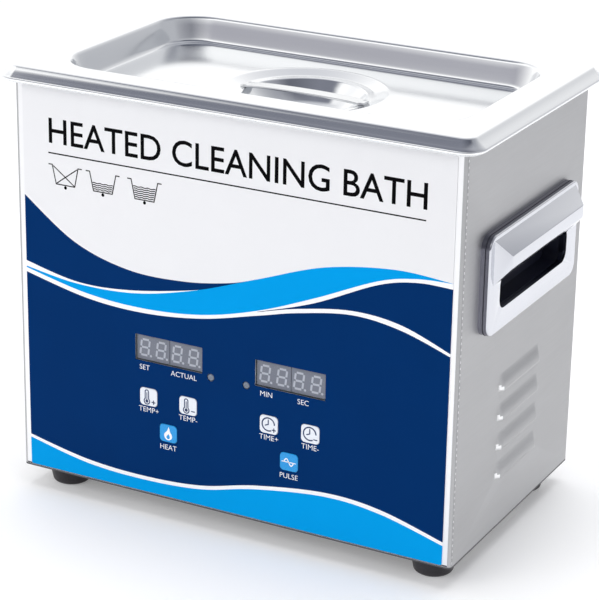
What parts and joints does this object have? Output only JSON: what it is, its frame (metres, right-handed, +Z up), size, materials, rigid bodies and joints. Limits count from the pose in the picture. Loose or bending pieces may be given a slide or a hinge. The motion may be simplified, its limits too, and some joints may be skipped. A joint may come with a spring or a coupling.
{
  "type": "ultrasonic cleaner",
  "caption": "Bench-top ultrasonic cleaner: steel housing with lift-off pan lid, tank with basket, front keys and displays, side grips and rubber feet.",
  "frame": {"origin": "on the floor, under the middle of the housing", "axes": "+Z up, the front panel faces -Y, +X to the right seen from the front"},
  "size_m": [0.291, 0.177, 0.246],
  "materials": {
    "housing_steel": "fine brushed sheet",
    "tank_steel": "drawn, satin",
    "lid_steel": "pressed, fine satin",
    "basket_steel": "electropolished",
    "grip_chrome": "bright plated",
    "pocket_plastic": "moulded, fine texture",
    "overlay_film": "printed film",
    "window_tint": "tinted, clear gloss",
    "digit_grey": "filled resin",
    "lamp_resin": "diffused resin",
    "key_white": "moulded",
    "key_blue": "moulded",
    "foot_rubber": "moulded",
    "seal_rubber": "silicone",
    "screw_zinc": "zinc plated",
    "brass": "plain",
    "horn_aluminium": "turned",
    "back_steel": "turned",
    "ceramic": "fired ceramic",
    "heater_silicone": "silicone",
    "sensor_metal": "plain",
    "circuit_board": "solder mask",
    "switch_body": "moulded",
    "heatsink_aluminium": "extruded",
    "transformer_wrap": "varnished",
    "capacitor_sleeve": "shrink sleeve",
    "header_plastic": "moulded",
    "ribbon_grey": "extruded",
    "fan_plastic": "moulded",
    "inlet_plastic": "moulded",
    "fuse_glass": "clear"
  },
  "bodies": {
    "cleaner": {"housing_shell": "housing_steel", "base_plate": "housing_steel", "tank": "tank_steel", "grip_right": "grip_chrome", "grip_left": "grip_chrome", "pocket_right": "pocket_plastic", "pocket_left": "pocket_plastic", "front_overlay": "overlay_film", "display_window_temp": "window_tint", "display_window_time": "window_tint", "digits_temp": "digit_grey", "digits_time": "digit_grey", "led_heater": "lamp_resin", "led_ultrasonic": "lamp_resin", "foot_front_left": "foot_rubber", "foot_front_right": "foot_rubber", "foot_rear_left": "foot_rubber", "foot_rear_right": "foot_rubber", "tank_seal": "seal_rubber", "base_screws": "screw_zinc", "foot_screws": "screw_zinc", "foot_nuts": "screw_zinc", "board_screws": "screw_zinc", "grip_screws": "screw_zinc", "main_screws": "screw_zinc", "transducer_bolts": "screw_zinc", "board_standoffs": "brass", "main_standoffs": "brass", "electrodes": "brass", "inlet_pins": "brass", "horns": "horn_aluminium", "back_masses": "back_steel", "piezo_rings": "ceramic", "heater_pad_front": "heater_silicone", "heater_pad_rear": "heater_silicone", "temperature_sensor": "sensor_metal", "display_board": "circuit_board", "main_board": "circuit_board", "tact_switches": "switch_body", "heatsink": "heatsink_aluminium", "transformer": "transformer_wrap", "capacitors": "capacitor_sleeve", "headers": "header_plastic", "display_ribbon": "ribbon_grey", "fan_frame": "fan_plastic", "inlet_socket": "inlet_plastic", "switch_frame": "inlet_plastic"},
    "lid": {"lid": "lid_steel", "lid_handle": "lid_steel"},
    "basket": {"basket": "basket_steel"},
    "key_temp_up": {"key_temp_up": "key_white"},
    "key_temp_down": {"key_temp_down": "key_white"},
    "key_heater": {"key_heater": "key_blue"},
    "key_time_up": {"key_time_up": "key_white"},
    "key_time_down": {"key_time_down": "key_white"},
    "key_ultrasonic": {"key_ultrasonic": "key_blue"},
    "fan_rotor": {"fan_rotor": "fan_plastic"},
    "fuse_drawer": {"fuse_drawer": "inlet_plastic", "fuse": "fuse_glass"},
    "rocker": {"switch_rocker": "inlet_plastic"}
  },
  "joints": [
    {"name": "lid_lift", "type": "slide", "parent": "cleaner", "child": "lid", "axis": [0, 0, 1], "range_m": [0, 0.21]},
    {"name": "basket_lift", "type": "slide", "parent": "cleaner", "child": "basket", "axis": [0, 0, 1], "range_m": [0, 0.105]},
    {"name": "key_temp_up_press", "type": "slide", "parent": "cleaner", "child": "key_temp_up", "axis": [0, 1, 0], "range_m": [0, 0.0005], "stiffness_N_per_m": 1200},
    {"name": "key_temp_down_press", "type": "slide", "parent": "cleaner", "child": "key_temp_down", "axis": [0, 1, 0], "range_m": [0, 0.0005], "stiffness_N_per_m": 1200},
    {"name": "key_heater_press", "type": "slide", "parent": "cleaner", "child": "key_heater", "axis": [0, 1, 0], "range_m": [0, 0.0005], "stiffness_N_per_m": 1200},
    {"name": "key_time_up_press", "type": "slide", "parent": "cleaner", "child": "key_time_up", "axis": [0, 1, 0], "range_m": [0, 0.0005], "stiffness_N_per_m": 1200},
    {"name": "key_time_down_press", "type": "slide", "parent": "cleaner", "child": "key_time_down", "axis": [0, 1, 0], "range_m": [0, 0.0005], "stiffness_N_per_m": 1200},
    {"name": "key_ultrasonic_press", "type": "slide", "parent": "cleaner", "child": "key_ultrasonic", "axis": [0, 1, 0], "range_m": [0, 0.0005], "stiffness_N_per_m": 1200},
    {"name": "fan_spin", "type": "hinge", "parent": "cleaner", "child": "fan_rotor", "pos_m": [-0.076, 0, 0.022], "axis": [0, 0, 1], "continuous": true},
    {"name": "fuse_drawer_slide", "type": "slide", "parent": "cleaner", "child": "fuse_drawer", "axis": [0, 1, 0], "range_m": [0, 0.012]},
    {"name": "rocker_tilt", "type": "hinge", "parent": "cleaner", "child": "rocker", "pos_m": [0.04, 0.0785, 0.056], "axis": [1, 0, 0], "range_deg": [0, 14]}
  ],
  "couplings": [
    {"joint": "basket_lift", "follows": "lid_lift", "ratio": 0.5}
  ]
}
